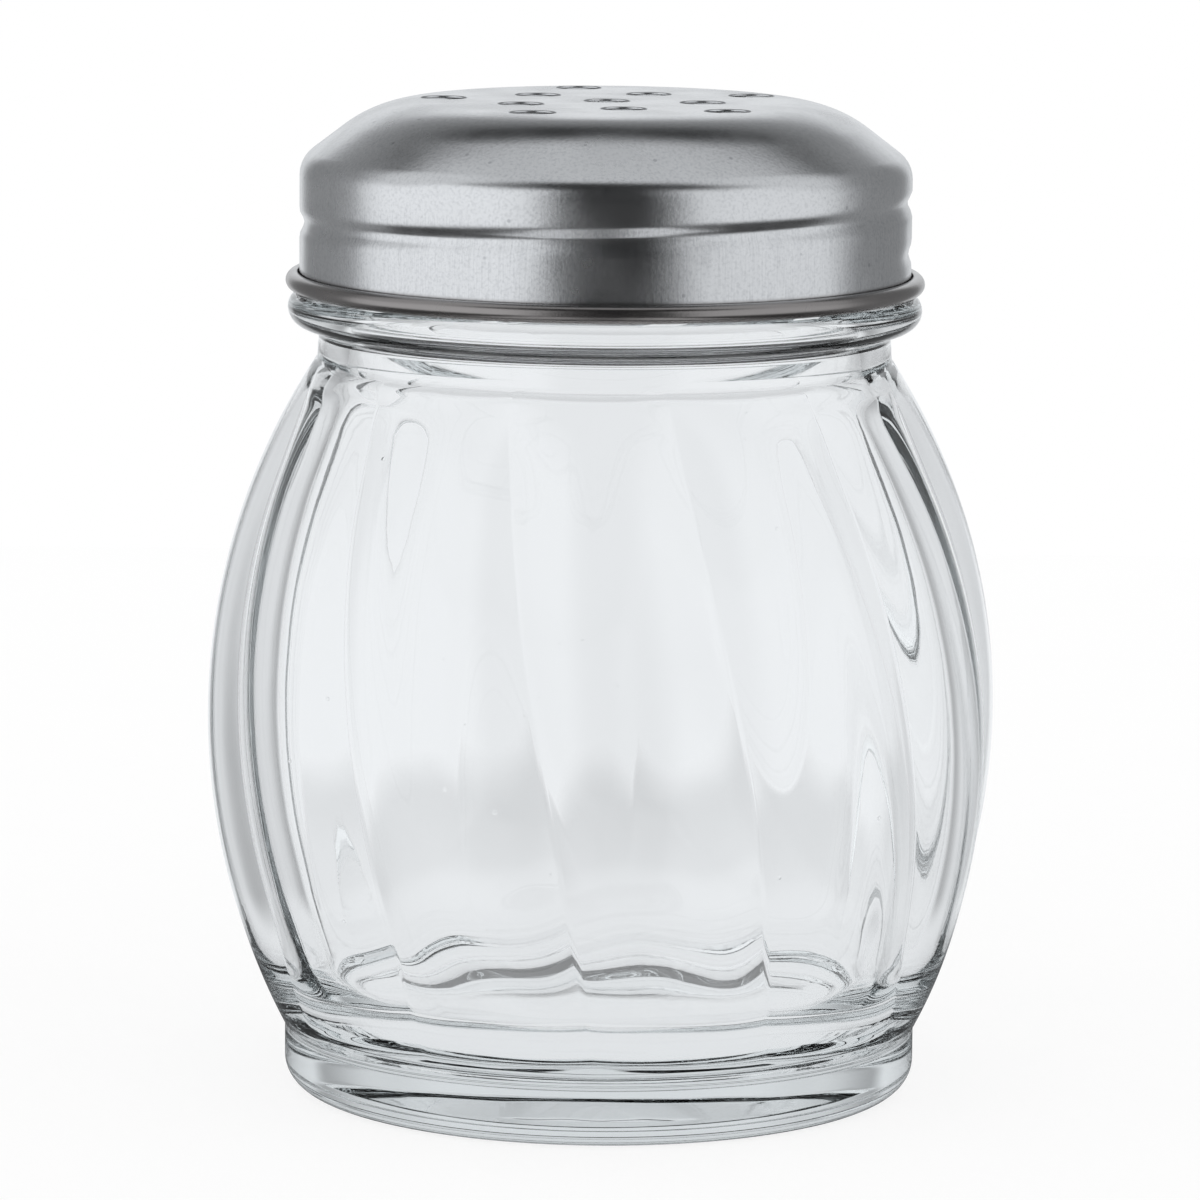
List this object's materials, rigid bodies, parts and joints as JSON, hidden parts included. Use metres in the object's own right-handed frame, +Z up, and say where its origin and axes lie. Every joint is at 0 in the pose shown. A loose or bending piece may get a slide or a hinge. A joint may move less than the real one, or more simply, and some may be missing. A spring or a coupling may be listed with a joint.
{
  "type": "parmesan shaker",
  "caption": "Small glass jar with a round foot and a swelling barrel of twisted lobes, closed by a perforated stainless screw lid that comes off upwards.",
  "frame": {"origin": "centre of the base, on the surface that the jar stands on", "axes": "+Z up along the jar's axis to the lid; -Y is the side that faces the viewer of the picture"},
  "size_m": [0.0748, 0.0748, 0.0942],
  "materials": {
    "glass": "clear moulded soda-lime glass, fire-polished, with faint seeds and mould marks",
    "steel": "satin stainless sheet, fine vertical brushing on the skirt"
  },
  "bodies": {
    "jar": {"glass_jar": "glass"},
    "lid": {"lid": "steel"}
  },
  "joints": [
    {"name": "lid_lift", "type": "slide", "parent": "jar", "child": "lid", "axis": [0, 0, 1], "range_m": [0, 0.045]}
  ]
}
